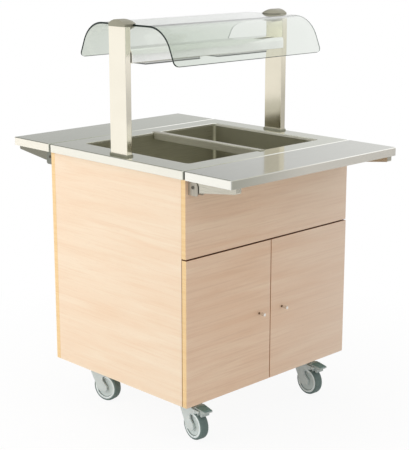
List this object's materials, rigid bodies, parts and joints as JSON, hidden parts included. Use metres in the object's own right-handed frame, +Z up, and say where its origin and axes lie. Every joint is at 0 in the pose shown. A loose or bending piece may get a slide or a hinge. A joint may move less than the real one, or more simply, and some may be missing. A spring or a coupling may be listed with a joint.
{
  "type": "hot buffet counter",
  "caption": "Mobile hot buffet counter: cupboard on swivel casters, heated well in a steel top, fold-down tray shelves and a bent glass canopy with heat lamps on posts.",
  "frame": {"origin": "on the floor under the middle of the counter", "axes": "+X along the doors to the right, -Y out of the doors, +Z up"},
  "size_m": [0.79, 1.066, 1.355],
  "materials": {
    "beech_board": "satin faced board",
    "stainless_sheet": "brushed",
    "galvanised_steel": "galvanised",
    "satin_zinc": "zinc plated",
    "knob_metal": "satin",
    "post_metal": "satin anodised",
    "cap_metal": "satin",
    "canopy_glass": "clear",
    "gasket_rubber": "matt",
    "housing_paint": "satin",
    "reflector_metal": "bright",
    "quartz_tube": "clear",
    "valve_brass": "cast and turned",
    "control_plastic": "fine texture",
    "dark_plastic": "fine texture",
    "caster_plastic": "moulded",
    "caster_steel": "bright",
    "tyre_rubber": "moulded"
  },
  "bodies": {
    "counter": {"end_panel_left": "beech_board", "end_panel_right": "beech_board", "back_panel": "beech_board", "apron_panel": "beech_board", "bottom_panel": "beech_board", "worktop": "stainless_sheet", "well_tank": "stainless_sheet", "tank_jacket": "galvanised_steel", "chassis_rails": "galvanised_steel", "wall_brackets": "satin_zinc", "bracket_pins": "satin_zinc", "hinge_arms": "satin_zinc", "heating_element": "satin_zinc", "caster_plates": "satin_zinc", "post_left": "post_metal", "post_right": "post_metal", "upper_caps": "cap_metal", "lower_clamps": "cap_metal", "post_collars": "cap_metal", "canopy_glass": "canopy_glass", "glass_gaskets": "gasket_rubber", "lamp_housing": "housing_paint", "lamp_reflectors": "reflector_metal", "quartz_lamps": "quartz_tube", "drain_valve": "valve_brass", "control_box": "control_plastic", "cable_gland": "dark_plastic"},
    "fork_front_left": {"caster_fork_front_left": "caster_plastic", "caster_axle_front_left": "caster_steel"},
    "wheel_front_left": {"caster_rim_front_left": "caster_plastic", "caster_tyre_front_left": "tyre_rubber"},
    "pedal_front_left": {"brake_pedal_front_left": "caster_plastic"},
    "fork_front_right": {"caster_fork_front_right": "caster_plastic", "caster_axle_front_right": "caster_steel"},
    "wheel_front_right": {"caster_rim_front_right": "caster_plastic", "caster_tyre_front_right": "tyre_rubber"},
    "pedal_front_right": {"brake_pedal_front_right": "caster_plastic"},
    "fork_back_left": {"caster_fork_back_left": "caster_plastic", "caster_axle_back_left": "caster_steel"},
    "wheel_back_left": {"caster_rim_back_left": "caster_plastic", "caster_tyre_back_left": "tyre_rubber"},
    "fork_back_right": {"caster_fork_back_right": "caster_plastic", "caster_axle_back_right": "caster_steel"},
    "wheel_back_right": {"caster_rim_back_right": "caster_plastic", "caster_tyre_back_right": "tyre_rubber"},
    "door_left": {"door_left": "beech_board", "knob_left": "knob_metal", "hinge_cups_left": "satin_zinc"},
    "door_right": {"door_right": "beech_board", "knob_right": "knob_metal", "hinge_cups_right": "satin_zinc"},
    "shelf_front": {"front_shelf": "stainless_sheet", "front_shelf_arms": "satin_zinc"},
    "shelf_back": {"back_shelf": "stainless_sheet", "back_shelf_arms": "satin_zinc"},
    "cross_bar": {"cross_bar": "stainless_sheet"},
    "drain_lever": {"drain_lever": "dark_plastic"},
    "thermostat_knob": {"thermostat_knob": "dark_plastic"},
    "lamp_switch": {"lamp_switch": "dark_plastic"}
  },
  "joints": [
    {"name": "swivel_front_left", "type": "hinge", "parent": "counter", "child": "fork_front_left", "pos_m": [-0.28, -0.232, 0.1], "axis": [0, 0, 1], "continuous": true},
    {"name": "roll_front_left", "type": "hinge", "parent": "fork_front_left", "child": "wheel_front_left", "pos_m": [-0.28463, -0.26972, 0.05], "axis": [0.9925, -0.1219, 0], "continuous": true},
    {"name": "brake_front_left", "type": "hinge", "parent": "fork_front_left", "child": "pedal_front_left", "pos_m": [-0.2878, -0.29552, 0.1075], "axis": [0.9925, -0.1219, 0], "range_deg": [-12, 0]},
    {"name": "swivel_front_right", "type": "hinge", "parent": "counter", "child": "fork_front_right", "pos_m": [0.288, -0.232, 0.1], "axis": [0, 0, 1], "continuous": true},
    {"name": "roll_front_right", "type": "hinge", "parent": "fork_front_right", "child": "wheel_front_right", "pos_m": [0.28535, -0.26991, 0.05], "axis": [0.9976, -0.0698, 0], "continuous": true},
    {"name": "brake_front_right", "type": "hinge", "parent": "fork_front_right", "child": "pedal_front_right", "pos_m": [0.28354, -0.29584, 0.1075], "axis": [0.9976, -0.0698, 0], "range_deg": [-12, 0]},
    {"name": "swivel_back_left", "type": "hinge", "parent": "counter", "child": "fork_back_left", "pos_m": [-0.28, 0.232, 0.1], "axis": [0, 0, 1], "continuous": true},
    {"name": "roll_back_left", "type": "hinge", "parent": "fork_back_left", "child": "wheel_back_left", "pos_m": [-0.27275, 0.1947, 0.05], "axis": [0.9816, 0.1908, 0], "continuous": true},
    {"name": "swivel_back_right", "type": "hinge", "parent": "counter", "child": "fork_back_right", "pos_m": [0.288, 0.232, 0.1], "axis": [0, 0, 1], "continuous": true},
    {"name": "roll_back_right", "type": "hinge", "parent": "fork_back_right", "child": "wheel_back_right", "pos_m": [0.29197, 0.19421, 0.05], "axis": [0.9945, 0.1045, 0], "continuous": true},
    {"name": "door_left_hinge", "type": "hinge", "parent": "counter", "child": "door_left", "pos_m": [-0.386, -0.3315, 0.4], "axis": [0, 0, -1], "range_deg": [0, 110]},
    {"name": "door_right_hinge", "type": "hinge", "parent": "counter", "child": "door_right", "pos_m": [0.386, -0.3315, 0.4], "axis": [0, 0, 1], "range_deg": [0, 110]},
    {"name": "front_shelf_fold", "type": "hinge", "parent": "counter", "child": "shelf_front", "pos_m": [0, -0.3525, 0.871], "axis": [1, 0, 0], "range_deg": [0, 90]},
    {"name": "back_shelf_fold", "type": "hinge", "parent": "counter", "child": "shelf_back", "pos_m": [0, 0.3525, 0.871], "axis": [-1, 0, 0], "range_deg": [0, 90]},
    {"name": "cross_bar_lift", "type": "slide", "parent": "counter", "child": "cross_bar", "axis": [0, 0, 1], "range_m": [0, 0.06]},
    {"name": "drain_lever_turn", "type": "hinge", "parent": "counter", "child": "drain_lever", "pos_m": [-0.19, -0.1, 0.6488], "axis": [0, -1, 0], "range_deg": [0, 90]},
    {"name": "thermostat_turn", "type": "hinge", "parent": "counter", "child": "thermostat_knob", "pos_m": [0.334, -0.3, 0.42475], "axis": [0, 1, 0], "range_deg": [0, 270]},
    {"name": "lamp_switch_rock", "type": "hinge", "parent": "counter", "child": "lamp_switch", "pos_m": [0.334, -0.2824, 0.35975], "axis": [1, 0, 0], "range_deg": [0, 16]}
  ]
}
